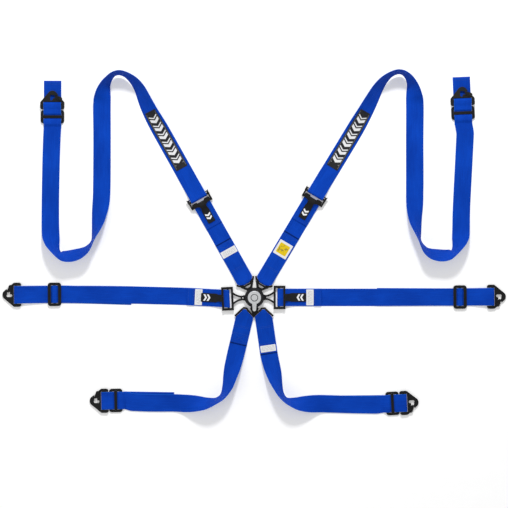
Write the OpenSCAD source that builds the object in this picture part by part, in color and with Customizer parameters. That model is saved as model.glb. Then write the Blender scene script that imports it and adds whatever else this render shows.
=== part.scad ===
// Six-point racing harness, laid out flat on the floor.
// X points to the right lap anchor, Y to the shoulder anchors, Z up from the floor.
// Every strap is one woven band that is swept along its own route.

/* [Webbing] */
// Width of the harness webbing
web_w = 50; // [44:0.5:76]
// Thickness of one layer of webbing
web_t = 1.4; // [1:0.1:2.5]
// Rise from one layer of webbing to the next
layer = 1.6; // [1.5:0.05:2.5]

/* [Buckle] */
// Distance of the buckle centre below the middle of the layout
buckle_drop = 155.5; // [0:0.5:300]
// Outer radius of the round housing
housing_r = 28; // [24:0.5:36]
// Height of the housing roof above the floor
housing_h = 21.5; // [18:0.5:30]
// Radius of the turning disc
disc_r = 19; // [14:0.5:24]
// Reach of the lever tab from the centre
lever_reach = 39; // [30:0.5:50]
// Width of the lever tab
lever_w = 14; // [10:0.5:20]
// Radius of the circle that the latch pins stand on
pin_circle = 17.5; // [16:0.5:20]
// Radius of a latch pin
pin_r = 2.5; // [2:0.1:3]

/* [Tongues] */
// Thickness of the tongue plates
plate_t = 3; // [2:0.1:4]
// Direction of the left shoulder strap at the buckle
shoulder_left_yaw = 119.3; // [100:0.1:140]
// Direction of the right shoulder strap at the buckle
shoulder_right_yaw = 59.2; // [40:0.1:80]
// Direction of the left lap strap at the buckle
lap_left_yaw = 182.8; // [170:0.1:190]
// Distance from the buckle centre to the bar of a shoulder tongue
tongue_bar_at = 48.8; // [46:0.1:60]
// Distance from the buckle centre to the lock bar of the left lap frame
lap_bar_left = 75; // [60:0.5:90]
// Distance from the buckle centre to the lock bar of the right lap frame
lap_bar_right = 70; // [60:0.5:90]

/* [Adjusters and slides] */
// Distance from the buckle centre to the left shoulder adjuster
adjuster_left_at = 321; // [200:1:400]
// Distance from the buckle centre to the right shoulder adjuster
adjuster_right_at = 337; // [200:1:400]
// Length of a three-bar slide along the webbing
slide_l = 38; // [34:0.5:50]
// Width of a three-bar slide
slide_w = 67; // [60:0.5:90]

/* [Anchor hooks] */
// Thickness of the hook plate
hook_t = 4; // [3:0.1:5]
// Width of the hook over its rear ears
hook_w = 69; // [60:0.5:80]
// Reach of the hook nose in front of the webbing bar
hook_nose = 38; // [34:0.5:45]
// Nose-down lean of a hook that lies on the floor
hook_lean = 3.5; // [0:0.1:6]

/* [Hidden] */
$fn = 64;
flat_z = 0.75;            // middle of the layer that lies on the floor
upper_z = flat_z + layer; // middle of the second layer
tongue_z = 5;             // underside of the tongue plates
bar_z = tongue_z + plate_t / 2;
bar_r = 3;                // round bars that carry webbing on the tongues
loop_r = bar_r + 0.4 + web_t / 2;
hook_bar_r = 3.5;
hook_loop_r = hook_bar_r + 0.4 + web_t / 2;
hook_z = hook_loop_r + 0.9;  // height of the hook's webbing bar
slide_t = 4;
slide_bar = 8;            // width of the middle bar of a slide
slide_win = 10.5;         // half length of the window of a slide
step_z = 4.25;            // rise of the webbing through a slide
near = 36.5;              // slide to hook bar, where both sit close together
lap_left_gap = 111;       // slide to hook bar on the left lap strap
lap_right_gap = 93;
steel = [0.16, 0.16, 0.17];
bright = [0.75, 0.76, 0.78];
blue = [0.05, 0.24, 0.66];
black = [0.05, 0.05, 0.06];

// Anchor ends: [x, y, direction of the nose, gap from slide to hook bar, layers below]
end_lap_left = [-682.5, 7.6, 180.6, lap_left_gap, 0];
end_lap_right = [681, 2, 0.6, lap_right_gap, 0];
end_crotch_left = [-433, -295.5, 181, near, 0];
end_crotch_right = [431.5, -301.5, 3, near, 0];
end_shoulder_left = [-577.5, 553, 90, near, 1];
end_shoulder_right = [595, 564, 92.5, near, 1];

// ---- route helpers ----

function unit(v) = v / norm(v);

// A station is [middle, width direction]. A profile is a list of [along, height] pairs
// in the upright plane through (x, y) that points along yaw.
function upright(profile, x, y, yaw) = [for (p = profile)
  [[x + p[0] * cos(yaw), y + p[0] * sin(yaw), p[1]], [-sin(yaw), cos(yaw), 0]]];

function arc(cx, cz, r, from, to, n) = [for (i = [0 : n])
  let (a = from + (to - from) * i / n) [cx + r * cos(a), cz + r * sin(a)]];

function spline(a, b, c, d, t) = 0.5 * (2 * b + (c - a) * t + (2 * a - 5 * b + 4 * c - d) * t * t
  + (3 * b - a - 3 * c + d) * t * t * t);

function smooth(p, n) = [for (i = [0 : len(p) - 2], k = [0 : n - 1])
  spline(p[max(i - 1, 0)], p[i], p[i + 1], p[min(i + 2, len(p) - 1)], k / n), p[len(p) - 1]];

// Stations along a route of [x, y, lift, roll]: a rolled strap stands on one edge.
function rolled(route) = [for (i = [0 : len(route) - 1])
  let (p = route[i], a = route[max(i - 1, 0)], b = route[min(i + 1, len(route) - 1)],
    h = unit([b[0] - a[0], b[1] - a[1]]), s = sin(p[3]), c = cos(p[3]))
  [[p[0], p[1], p[2] + web_w / 2 * abs(s)], [-h[1] * c, h[0] * c, s]]];

// A station may carry its own edges as [place of the right edge, place of the left edge], and
// a fourth value tells that its width direction is kept as it is, aslant to the strap.
module band(stations, width = web_w, thick = web_t) {
  n = len(stations);
  mids = [for (s = stations) s[0]];
  dirs = [for (i = [0 : n - 1]) unit(mids[min(i + 1, n - 1)] - mids[max(i - 1, 0)])];
  across = [for (i = [0 : n - 1]) len(stations[i]) > 3 ? stations[i][1]
    : unit(stations[i][1] - dirs[i] * (stations[i][1] * dirs[i]))];
  points = [for (i = [0 : n - 1]) let (e = len(stations[i]) > 2 ? stations[i][2] : [-width / 2, width / 2],
    a = mids[i] + across[i] * e[0], b = mids[i] + across[i] * e[1],
    t = unit(cross(dirs[i], across[i])) * thick / 2)
    each [a - t, b - t, b + t, a + t]];
  // Both faces of a twisted piece fold along the same diagonal, the one that leaves the top hollow.
  twist = [for (i = [0 : n - 2]) cross(across[i], across[i + 1]) * dirs[i]];
  sides = [for (i = [0 : n - 2], k = [0 : 3]) let (a = 4 * i + k, b = 4 * i + (k + 1) % 4)
    each k == (twist[i] < -0.001 ? 0 : 2) ? [[a, a + 4, b + 4], [a, b + 4, b]] : [[a, a + 4, b], [b, a + 4, b + 4]]];
  caps = [[0, 1, 2], [0, 2, 3], [4 * n - 2, 4 * n - 3, 4 * n - 4], [4 * n - 1, 4 * n - 2, 4 * n - 4]];
  polyhedron(points = points, faces = concat(sides, caps), convexity = 10);
}

// The folded end of a strap that hangs on a short bar: how far its right and left edges
// stand from the middle, by the distance along the strap from that bar.
end_shoulder = [[[-4.8, 9.5], [-1.9, 10.5], [0, 16.5], [1.6, 19.3], [4.2, 22.3], [8, 25]],
  [[-4.8, 9.5], [-1.9, 10.5], [0, 16.5], [1.6, 19.3], [4.2, 22.3], [8, 25]]];
end_crotch_l = [[[-4.8, 8], [-1.9, 8.6], [0, 10.5], [5, 13.6], [10, 16.8], [19, 22.7], [22.5, 25]],
  [[-4.8, 0.5], [-1.9, 1.4], [0, 4.5], [5, 12], [10.5, 20.6], [13.5, 25]]];
end_crotch_r = [[[-4.8, 2], [-1.9, 3], [0, 6.5], [5, 13.9], [9.8, 21.2], [12.5, 25]],
  [[-4.8, 6.5], [-1.9, 7], [0, 8.8], [5, 12.4], [10, 16.5], [16, 21.6], [20, 25]]];

function folded(profile, x, y, yaw, at, ends) = [for (p = profile)
  [[x + p[0] * cos(yaw), y + p[0] * sin(yaw), p[1]], [-sin(yaw), cos(yaw), 0],
   [-lookup(p[0] - at, ends[0]), lookup(p[0] - at, ends[1])]]];

// Outline of a folded end as [along, across] points, and the same line moved outwards.
function end_line(ends) = concat([for (i = [len(ends[0]) - 1 : -1 : 0]) [ends[0][i][0], -ends[0][i][1]]], ends[1]);

function moved(p, d) = [for (i = [0 : len(p) - 1])
  let (t = unit(p[min(i + 1, len(p) - 1)] - p[max(i - 1, 0)])) p[i] + d * [-t[1], t[0]]];

// Flat rim round a folded end, with a gap to the webbing.
module rim(ends, gap, wide, h) let (line = end_line(ends), a = moved(line, gap), b = moved(line, gap + wide))
  linear_extrude(h) polygon(concat(a, [for (i = [len(b) - 1 : -1 : 0]) b[i]]));

// ---- webbing profiles ----

// Webbing through the slide, round the hook and back, as seen from the side.
// side = 1 puts the webbing over the middle bar, side = -1 under it.
function slide_pass(at, side, z, low) = let (
    zu = side > 0 ? [flat_z, flat_z + step_z] : [flat_z + step_z, flat_z],
    in = (low && side > 0) || (!low && side < 0) ? 0 : 0.48,
    base = z + (low ? 0 : layer))
  [[at - 9.02 - in, base + zu[0]], [at - 4.55 - in, base + zu[1]],
   [at + 4.55 + in, base + zu[1]], [at + 9.02 + in, base + zu[0]]];

function hook_end(gap, side, below) = let (z = below * layer, hz = hook_z + z,
    outer = side < 0 ? [[-gap - 28, z + upper_z], [-gap - 20.7, z + upper_z + step_z]] : [],
    back = side < 0 ? [[-gap - 20.2, z + flat_z + step_z], [-gap - 27.5, z + flat_z]] : [])
  concat(outer, slide_pass(-gap, side, z, false),
    side < 0 ? [[-gap + 20, z + upper_z + step_z], [-8, hz + 3.9]]
      : [[-gap + 21, z + upper_z], [-gap + 34, z + upper_z + 0.8], [-24, hz + 1.6], [-9, hz + 4]],
    arc(0, hz, hook_loop_r, 90, -90, 10),
    side < 0 ? [[-7, z + 1.2], [-gap + 20, z + flat_z + step_z]] : [[-9, z + 0.8], [-gap + 30, z + flat_z]],
    [for (i = [3 : -1 : 0]) slide_pass(-gap, side, z, true)[i]], back);

// ---- shared solids ----

module placed(end) translate([end[0], end[1], end[4] * layer]) rotate([0, 0, end[2]]) children();

// Outline of a flat strip with round ends.
function pill(a, ra, b, rb, n = 12) = let (yaw = atan2(b[1] - a[1], b[0] - a[0]),
    e = 90 - asin((ra - rb) / norm(b - a)))
  concat([for (i = [0 : n]) let (t = yaw - e + 2 * e * i / n) b + rb * [cos(t), sin(t)]],
    [for (i = [0 : n]) let (t = yaw + e + (360 - 2 * e) * i / n) a + ra * [cos(t), sin(t)]]);

module strip(a, ra, b, rb, h) linear_extrude(h) polygon(pill(a, ra, b, rb));

module block(x0, x1, y0, y1, z0, z1) translate([x0, y0, z0]) cube([x1 - x0, y1 - y0, z1 - z0]);

module rounded_plate(l, w, r, h) {
  for (sx = [-1, 1], sy = [-1, 1])
    translate([sx * (l / 2 - r), sy * (w / 2 - r), 0]) cylinder(r = r, h = h);
  block(-l / 2 + r, l / 2 - r, -w / 2, w / 2, 0, h);
  block(-l / 2, l / 2, -w / 2 + r, w / 2 - r, 0, h);
}

module cross_bar(x, z, r, half) translate([x, -half, z]) rotate([-90, 0, 0]) cylinder(r = r, h = 2 * half);

// ---- anchor hook ----

gate_at = [14, 22.5]; // rivet of the keeper gate, from the middle of the webbing bar

function ring(c, r, from, to, n) = [for (i = [0 : n]) let (t = from + (to - from) * i / n) c + r * [cos(t), sin(t)]];

function mirrored(p) = [for (i = [len(p) - 1 : -1 : 0]) [p[i][0], -p[i][1]]];

// Forked plate: round nose in front, an ear on each side, the fork open to the rear.
module hook_outline() {
  half = concat(ring([23, 0], 15, 2, 40, 8), ring([2, hook_w / 2 - 8], 8, 42, 94, 6),
    ring([-9.5, hook_w / 2 - 6.5], 6.5, 98, 196, 8), [[-15.6, 25.8], [6, 25.8]]);
  linear_extrude(hook_t) polygon(concat(half, mirrored(half)));
}

// Room for the gate to swing in: a ring sector around its rivet.
module gate_room() translate([gate_at[0], gate_at[1], -1]) linear_extrude(hook_t + 2)
  polygon(concat([for (a = [-92 : 4.6 : -23]) 14.2 * [cos(a), sin(a)]],
    [for (a = [-23 : -6.9 : -92]) 6.7 * [cos(a), sin(a)]]));

module hook() color(steel) translate([0, 0, hook_z]) rotate([0, hook_lean, 0]) mirror([0, 1, 0]) {
  translate([0, 0, -hook_t / 2]) {
    difference() {
      hook_outline();
      block(-30, 6, -25.8, 25.8, -1, hook_t + 1);
      for (x = [13.8, 22.5]) translate([x, -2.5, -1]) cylinder(r = 4, h = hook_t + 2);
      gate_room();
      translate([0, 0, -1]) linear_extrude(hook_t + 2)
        polygon([[13.8, -6.3], [22.5, -6.3], [25.4, -3], [25.2, 5.5], [21.6, 10.8], [16.4, 9.6], [16.2, 1.3],
          [13.8, 1.3]]);
    }
    translate([gate_at[0], gate_at[1], 0]) {
      cylinder(r = 2, h = hook_t + 2.3);
      translate([0, 0, hook_t + 2.2]) cylinder(r = 3.6, h = 1);
    }
  }
  cross_bar(0, 0, hook_bar_r, 27);
}

module gate() color(steel) translate([0, 0, hook_z]) rotate([0, hook_lean, 0]) mirror([0, 1, 0])
  translate([0, 0, hook_t / 2]) {
    difference() {
      translate([0, 0, 0.3]) linear_extrude(1.6)
        polygon(concat(ring(gate_at, 6, -5, 222, 14), ring(gate_at, 14.4, 271, 284, 2),
          ring(gate_at, 16.8, 286, 307, 4)));
      translate([gate_at[0], gate_at[1], -1]) cylinder(r = 2.05, h = 4);
    }
    translate([0, 0, -hook_t + 0.4]) strip([20.3, 15.8], 1.9, [21.4, 14.5], 1.9, hook_t);
  }

// ---- three-bar slide; side as in slide_pass ----

module slide(gap, side) color(steel) translate([-gap, 0, side > 0 ? 7.35 : 0]) mirror([0, 0, side > 0 ? 1 : 0]) {
  difference() {
    translate([0, 0, 0.12]) rounded_plate(slide_l, slide_w, 8, slide_t);
    block(-slide_win, slide_win, -web_w / 2 - 1, web_w / 2 + 1, -1, slide_t + 1);
  }
  block(-slide_bar / 2, slide_bar / 2, -slide_w / 2 + 5, slide_w / 2 - 5, 3.25, 5.4);
}

// ---- buckle ----

pillars = [30, 90, 150, 225, 315];
pin_yaws = [shoulder_left_yaw, shoulder_right_yaw, 0, 270];
slot_yaws = concat(pin_yaws, [lap_left_yaw]);
guide_z = 8.8;
roof_z = 19.2;
cam_z = 11.2;
hub_r = 7;
stud_r = 3.95;

module at_pillars(z) for (a = pillars) rotate([0, 0, a]) translate([24.7, 0, z]) children();

module buckle_base() color(steel) difference() {
  cylinder(r = housing_r, h = 4);
  translate([0, 0, -1]) cylinder(r = stud_r, h = 6);
  at_pillars(-1) cylinder(r = 1.6, h = 6);
  at_pillars(-1) cylinder(r = 3.05, h = 2.6);
}

module buckle_housing() color(black) difference() {
  rotate_extrude() polygon([[21.5, 4], [housing_r, 4], [housing_r, 17], [housing_r - 3.5, housing_h],
    [hub_r + 0.08, housing_h], [hub_r + 0.08, roof_z], [21.5, roof_z]]);
  for (a = slot_yaws) rotate([0, 0, a]) block(15, 35, -8.6, 8.6, 4.6, 8.4);
  at_pillars(3) cylinder(r = 1.6, h = 7);
}

module housing_screws() color(steel) {
  at_pillars(0) cylinder(r = 1.6, h = 9.8);
  at_pillars(0) cylinder(r = 3, h = 1.5);
}

module latch_guide() color(bright) difference() {
  translate([0, 0, guide_z]) cylinder(r = 21.5, h = 2);
  translate([0, 0, guide_z - 1]) cylinder(r = 6, h = 4);
  for (a = pin_yaws) rotate([0, 0, a]) translate([pin_circle, 0, guide_z - 1]) cylinder(r = pin_r + 0.05, h = 4);
}

module center_stud() color(bright) {
  cylinder(r = stud_r, h = 22.2);
  translate([0, 0, 22.1]) cylinder(r = 5.6, h = 2.4);
}

module lift_cam() color(bright) difference() {
  union() {
    translate([0, 0, cam_z]) cylinder(r = hub_r, h = 13.6);
    translate([0, 0, cam_z]) cylinder(r = 14.6, h = 0.7);
  }
  translate([0, 0, cam_z - 1]) cylinder(r = stud_r + 0.05, h = 12);
  translate([0, 0, 21.8]) cylinder(r = 6, h = 4);
}

module release_lever() color(bright) difference() {
  union() {
    translate([0, 0, 22]) rotate_extrude() polygon([[hub_r, 0], [disc_r, 0], [disc_r, 2], [disc_r - 1.4, 3.2], [hub_r, 3.2]]);
    translate([0, 0, 22]) strip([0, -14], lever_w / 2 - 0.5, [0, -lever_reach + 5], 5, 3);
  }
  translate([0, 0, 21]) cylinder(r = hub_r, h = 6);
  translate([0, 0, 24]) strip([0, -24], 2, [0, -33], 2, 2);
}

module lever_cap() color(bright) translate([0, 0, 25.2]) difference() {
  rotate_extrude() polygon([[0, 0], [11.2, 0], [11.2, 0.6], [10.4, 1.4], [9.2, 1.4], [8.6, 0.9], [0, 0.9]]);
  translate([0, 0, -0.1]) difference() {
    cylinder(r = 5.4, h = 0.2);
    cylinder(r = 3.4, h = 0.2);
  }
}

module lever_spring() color(steel) rotate_extrude() for (i = [0 : 4])
  translate([8.6, 13.2 + i]) circle(r = 0.55, $fn = 24);

module latch_springs() color(bright) for (a = pin_yaws) rotate([0, 0, a]) translate([pin_circle, 0, 0])
  rotate_extrude() for (i = [0 : 3]) translate([3.3, 14 + i * 1.45]) circle(r = 0.75, $fn = 24);

module latch_pin(yaw) color(bright) rotate([0, 0, yaw]) translate([pin_circle, 0, 0]) {
  translate([0, 0, 5.9]) cylinder(r1 = pin_r - 0.6, r2 = pin_r, h = 0.6);
  translate([0, 0, 6.5]) cylinder(r = pin_r, h = 9);
  translate([0, 0, 12.2]) cylinder(r = 3.6, h = 1);
}

// ---- tongues ----

// The part of a tongue that enters the buckle, with the slot for its latch pin.
module tongue_tip(play) translate([0, 0, tongue_z]) difference() {
  linear_extrude(plate_t) polygon([[9.5, -4.2], [15.5, -7], [17, -8], [31, -8], [31, 8], [17, 8], [15.5, 7], [9.5, 4.2]]);
  translate([0, 0, -1]) strip([pin_circle - play, 0], pin_r + 0.3, [pin_circle + 0.01, 0], pin_r + 0.3 - 0.001, plate_t + 2);
}

module shoulder_tongue(yaw) color(steel) rotate([0, 0, yaw]) {
  tongue_tip(2.4);
  translate([0, 0, tongue_z]) {
    for (s = [-1, 1]) strip([30, s * 6.2], 3.6, [tongue_bar_at - 5.5, s * 18], 2.6, plate_t);
    linear_extrude(plate_t) polygon([[27, -9.4], [32.4, -9.1], [33, -4], [33, 4], [32.4, 9.1], [27, 9.4]]);
    translate([tongue_bar_at, 0, 0]) rim(end_shoulder, 0.6, 5.2, plate_t);
  }
  cross_bar(tongue_bar_at, bar_z, bar_r, 19.4);
}

// Curved arm between the neck of a lap tongue and its frame.
function arm(from, to, side) = [for (i = [0 : 8]) [from + (to - from) * i / 8, side * (4.2 + 12.3 * pow(i / 8, 1.9))]];

// Frame with upright cheeks, an outer wall above the webbing and the slots of its lock bar.
module lap_frame(at, slot, neck) {
  translate([0, 0, tongue_z]) {
    for (s = [-1, 1]) let (p = arm(neck, at - 12, s), a = moved(p, 2.6), b = moved(p, -2.6))
      linear_extrude(plate_t) polygon(concat(a, [for (i = [8 : -1 : 0]) b[i]]));
    block(at - 15, at - 9, -29, 29, 0, plate_t);
  }
  difference() {
    union() {
      for (s = [-1, 1]) translate([at, s * 30.3, 1.4]) linear_extrude(9.6)
        polygon([[-15, -3.2], [18.6, -3.2], [18.6, 3.2], [-13.2, 3.2], [-15, 1.4 * s + 1.4]]);
      block(at + 12.6, at + 18.4, -33, 33, 9.4, 12.6);
    }
    for (dx = slot) cross_bar(at + dx, bar_z, bar_r + 0.1, 40);
    block(at + slot[0], at + slot[1], -40, 40, bar_z - bar_r - 0.1, bar_z + bar_r + 0.1);
  }
  for (v = [-6.5, 6.5]) translate([at + 14.6, v, 12]) cylinder(r1 = 1.5, r2 = 1.1, h = 1.3, $fn = 24);
}

module lap_lug_left() color(steel) rotate([0, 0, lap_left_yaw]) {
  difference() {
    translate([0, 0, tongue_z]) linear_extrude(plate_t)
      polygon([[9.5, -4.2], [15.5, -7], [17, -8], [31, -8], [31.6, -6.9], [39.4, -6.6], [39.4, 6.6],
        [31.6, 6.9], [31, 8], [17, 8], [15.5, 7], [9.5, 4.2]]);
    translate([pin_circle, 0, 0]) cylinder(r = pin_r, h = 20);
    translate([33, 0, 0]) cylinder(r = 2.4, h = 20);
  }
  lap_frame(lap_bar_left, [0, 2.5], 36);
}

module lap_tongue_right() color(steel) {
  tongue_tip(2.4);
  translate([0, 0, tongue_z]) linear_extrude(plate_t) polygon([[28, -7.4], [34, -6.7], [34, 6.7], [28, 7.4]]);
  lap_frame(lap_bar_right, [0, 2.5], 31.5);
}

module lug_pin() color(bright) rotate([0, 0, lap_left_yaw]) translate([pin_circle, 0, 4]) cylinder(r = pin_r, h = 4.8);

module lap_lock_bar(yaw, at) color(bright) rotate([0, 0, yaw]) difference() {
  cross_bar(at, bar_z, bar_r, 33);
  for (v = [-20 : 4 : 20]) translate([at, v, bar_z]) rotate([-90, 0, 0]) difference() {
    cylinder(r = bar_r + 1, h = 0.8);
    translate([0, 0, -1]) cylinder(r = bar_r - 0.3, h = 3);
  }
}

crotch_left = [-24, -39.3, 256.8];   // middle of the left crotch strap on its bar, direction of the strap
crotch_right = [24, -39.3, 278.2];

module crotch_wing(c, ends) translate([c[0], c[1], 0]) rotate([0, 0, c[2]]) {
  translate([0, 0, tongue_z]) rim(ends, 0.6, 5.4, plate_t);
  translate([0, -lookup(0, ends[0]) - 2.2, bar_z]) rotate([-90, 0, 0])
    cylinder(r = bar_r, h = lookup(0, ends[0]) + lookup(0, ends[1]) + 4.4);
}

module crotch_plate() color(steel) {
  rotate([0, 0, 270]) tongue_tip(2.4);
  translate([0, 0, tongue_z + 0.2]) linear_extrude(plate_t - 0.4)
    polygon([[-9.7, -27], [9.5, -27], [12.5, -31], [9.7, -39], [6.6, -46], [5.6, -49.9],
      [3.6, -52.3], [0.3, -55.8], [0.2, -57], [-3.2, -57], [-6.3, -46], [-9.2, -39], [-12.8, -31]]);
  crotch_wing(crotch_left, end_crotch_l);
  crotch_wing(crotch_right, end_crotch_r);
}

// ---- shoulder adjuster, in its own frame: along the strap, away from the buckle ----

pivot_at = -13;   // bar that the lower strap holds
roller_at = 4;    // knurled bar that grips the upper strap
adjuster_z = 6.5;

module adjuster_place(yaw, at) rotate([0, 0, yaw]) translate([at, 0, 0]) children();

module adjuster(yaw, at) color(steel) adjuster_place(yaw, at) {
  cross_bar(pivot_at, adjuster_z, bar_r, 29);
  difference() {
    for (s = [-1, 1]) {
      translate([0, s * 31, adjuster_z]) rotate([90, 0, 0]) translate([0, 0, -2.4])
        strip([pivot_at, 0], 5, [7.5, 0.4], 5.4, 4.8);
      translate([0, s * 31, 8.6]) linear_extrude(3) polygon([[2, -1.6], [2, 2.2 * s + 1.4], [15, s * 3.2 + 0.6], [15, s * 3.2 - 0.6]]);
    }
    cross_bar(roller_at, adjuster_z, bar_r + 0.02, 40);
  }
  block(9.6, 12.4, -30, 30, 4.8, 6.3);
}

module adjuster_bar(yaw, at) color(bright) adjuster_place(yaw, at)
  cross_bar(roller_at, adjuster_z, bar_r, 34);

// Release lever of the adjuster: a plate over the loop of the lower strap, hinged on the same bar.
module adjuster_lever(yaw, at) color(steel) adjuster_place(yaw, at) translate([pivot_at, 0, 0]) difference() {
  union() {
    translate([0, 0, 11.7]) linear_extrude(1.7) polygon([[-4, -28.1], [6.5, -28.1], [9.2, -25.5], [9.2, -13],
      [5.6, -9.5], [5.6, 9.5], [9.2, 13], [9.2, 25.5], [6.5, 28.1], [-4, 28.1], [-4.6, 17], [-7, 12.5],
      [-7, -12.5], [-4.6, -17]]);
    for (s = [-1, 1]) {
      block(7.4, 9.2, min(s * 13, s * 25.5), max(s * 13, s * 25.5), 11.9, 14.2);
      translate([0, s * 26.9 + 1.2, 0]) rotate([90, 0, 0]) linear_extrude(2.4)
        polygon(concat(ring([0, adjuster_z], 4.6, 180, 360, 12), [[4.6, 12.5], [-4, 12.5]]));
    }
  }
  cross_bar(0, adjuster_z, bar_r + 0.05, 40);
}

// Pull tab sewn on the release lever; it lies on the lower strap.
module adjuster_tab(yaw, at) color(black) band(upright([[at - 74, 4.3], [at - 47, 4.35], [at - 39, 5],
  [at - 31, 7.4], [at - 26, 10.9], [at - 22.5, 14.1], [at - 18, 14.6], [at - 9, 14.6]], 0, 0, yaw), 22, 1.8);

// ---- straps ----

seam_left = 181;    // end of the doubled webbing on the lower shoulder straps
seam_right = 207;

// Lower shoulder strap: sewn loop on the tongue bar, sewn loop on the pivot bar.
module shoulder_lower(yaw, at, seam_at) {
  bar = tongue_bar_at;
  far = at + pivot_at;
  color(blue) band(concat(
    folded(concat([[seam_at, flat_z], [bar + 30, flat_z], [bar + 22.5, 0.8], [bar + 13, 1.1], [bar + 8, 1.4],
      [bar + 4.2, 1.9]],
      [for (p = arc(0, bar_z, loop_r, 270, 90, 12)) [p[0] + bar, p[1]]],
      [[bar + 4.2, 10.1], [bar + 8, 9.1], [bar + 13, 7.6], [bar + 22.5, 5.1], [bar + 30, 3.4], [bar + 40, upper_z],
       [seam_at + 2, upper_z], [seam_at + 12, flat_z + 0.1]]), 0, 0, yaw, bar, end_shoulder),
    upright(concat([[far - 38, flat_z], [far - 26, flat_z + 0.1], [far - 9, 1.7]],
    [for (p = arc(0, adjuster_z, loop_r, -90, 90, 12)) [p[0] + far, p[1]]],
    [[far - 5, 9.9], [far - 10, 7.4], [far - 17, 4.4], [far - 26, upper_z + 0.1], [far - 34, upper_z],
     [far - 74, upper_z]]), 0, 0, yaw)));
}

// Upper shoulder strap: over the roller, back under itself, then out to the anchor.
function roller_end(at) = [[at + 66, flat_z], [at + 34, flat_z], [at + 20, 1.8], [at + roller_at + 4, adjuster_z - loop_r]];

module shoulder_strap(yaw, at, route, end) color(blue) band(concat(
  upright(concat(roller_end(at),
    [for (p = arc(0, adjuster_z, loop_r, 270, 90, 12)) [p[0] + at + roller_at, p[1]]],
    [[at + 7.5, 10], [at + 10.5, 8.7], [at + 15, 7.5], [at + 24, 6], [at + 38, 3.6], [at + 52, upper_z],
     [at + 68, upper_z]]),
    0, 0, yaw),
  rolled(smooth(route, 5)),
  upright(concat(hook_end(end[3], -1, 1),
    [[-end[3] - 30, flat_z + layer]], arc(-end[3] - 32, flat_z + layer / 2, layer / 2, 90, 270, 6),
    [[67, flat_z]]), end[0], end[1], end[2])));

// Lap strap: round the lock bar with its tail on top, then out to the anchor.
// bar = [x, y, direction of the webbing, turn of the lock bar against the webbing]
function on_bar(profile, bar) = [for (p = profile) let (c = cos(bar[2]), s = sin(bar[2]),
    k = tan(bar[3]) * (p[0] > 24 ? 0 : p[0] > 12 ? (24 - p[0]) / 12 : 1))
  [[bar[0] + p[0] * c, bar[1] + p[0] * s, p[1]], [-s - k * c, c - k * s, 0], [-web_w / 2, web_w / 2], 1]];

// The loose end of a strap lies under it and stops at its own place on the floor.
function tail_end(to, end) = [[to[0], to[1], flat_z], [-sin(end[2]), cos(end[2]), 0]];

lap_left_bar = [lap_bar_left * cos(lap_left_yaw), lap_bar_left * sin(lap_left_yaw), 177, lap_left_yaw - 177];
lap_right_bar = [lap_bar_right, 0, 0, 0];

module lap_strap(bar, tail, route, end, tail_to) color(blue) band(concat(
  on_bar(concat([[tail, upper_z], [48, upper_z], [38, 3.1], [27, 4.9], [18, 6.7], [12.5, 8.2], [8, 9.6], [4, 10.4]],
    arc(0, bar_z, loop_r, 90, 270, 12), [[8, 2.4], [20, 2], [36, flat_z]]), bar),
  rolled(smooth(route, 3)),
  upright(concat(hook_end(end[3], 1, 0), [[-end[3] - 30, flat_z]]), end[0], end[1], end[2]),
  [tail_end(tail_to, end)]));

// Crotch strap: folded loop on its bar of the crotch plate, then out to the anchor.
module crotch_strap(c, seam, route, end, tail_to, ends) color(blue) band(concat(
  folded(concat([[seam, flat_z], [30, flat_z], [22.5, 0.8], [13, 1.1], [8, 1.4], [4.2, 1.9]],
    arc(0, bar_z, loop_r, 270, 90, 12),
    [[4.2, 10.1], [8, 9.1], [13, 7.6], [22.5, 5.1], [30, 3.4], [40, upper_z], [seam + 2, upper_z]]),
    c[0], c[1], c[2], 0, ends),
  rolled(smooth(route, 5)),
  upright(hook_end(end[3], -1, 0), end[0], end[1], end[2]), [tail_end(tail_to, end)]));

// Routes: [x, y, lift of the lower edge, roll]. A positive roll lifts the left edge.
up = web_t / 2;
route_shoulder_left = [[-207, 369, up, 0], [-262, 467, up, -6], [-294, 524, up, -26], [-311, 559, up, -37],
  [-326, 593, 1, -50], [-342, 616, 3, -62], [-362, 632, 6, -74], [-382, 639, 8, -80], [-401, 635, 7, -82],
  [-415, 622, 4, -74], [-427, 602, 2, -58], [-433, 579, 1, -34], [-436, 545, up, -8], [-436, 450, up, 0],
  [-437, 300, up, 0], [-443, 233, up, 30], [-449, 197, 2, 54], [-459, 164, 6, 76], [-474, 140, 10, 66],
  [-492, 127, 12, 54], [-510, 121, 12, 47], [-528, 118, 12, 48], [-545, 119, 10, 56], [-560, 126, 7, 72],
  [-571, 140, 4, 62], [-578, 158, 2, 40], [-583, 190, up, 8], [-584, 260, up, 0], [-582, 380, 1.2, 0],
  [-579, 460, 3.95, 0]];
route_shoulder_right = [[222, 371, up, 0], [280, 467, up, 6], [313, 524, up, 26], [332, 559, up, 37],
  [350, 593, 1, 50], [366, 616, 3, 62], [384, 632, 6, 74], [405, 641, 8, 80], [424, 639, 7, 82],
  [440, 626, 4, 74], [451, 604, 2, 58], [456, 579, 1, 34], [459, 545, up, 8], [459, 450, up, 0],
  [459, 300, up, 0], [458, 233, up, -30], [462, 197, 2, -54], [470, 164, 6, -76], [485, 137, 10, -66],
  [502, 125, 12, -54], [520, 121, 12, -47], [538, 120, 12, -48], [555, 123, 10, -56], [570, 131, 7, -72],
  [580, 144, 4, -62], [587, 162, 2, -40], [591, 190, up, -8], [593, 260, up, 0], [600, 400, 1.2, 0],
  [603, 470, 3.95, 0]];
route_lap_left = [[-135, -0.6, up, 0], [-200, 2.8, up, 0], [-300, 5.5, up, 0], [-340, 6.5, up, 0],
  [-362, 7, upper_z, 0], [-440, 8, upper_z, 0], [-520, 8.2, upper_z, 0]];
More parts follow.
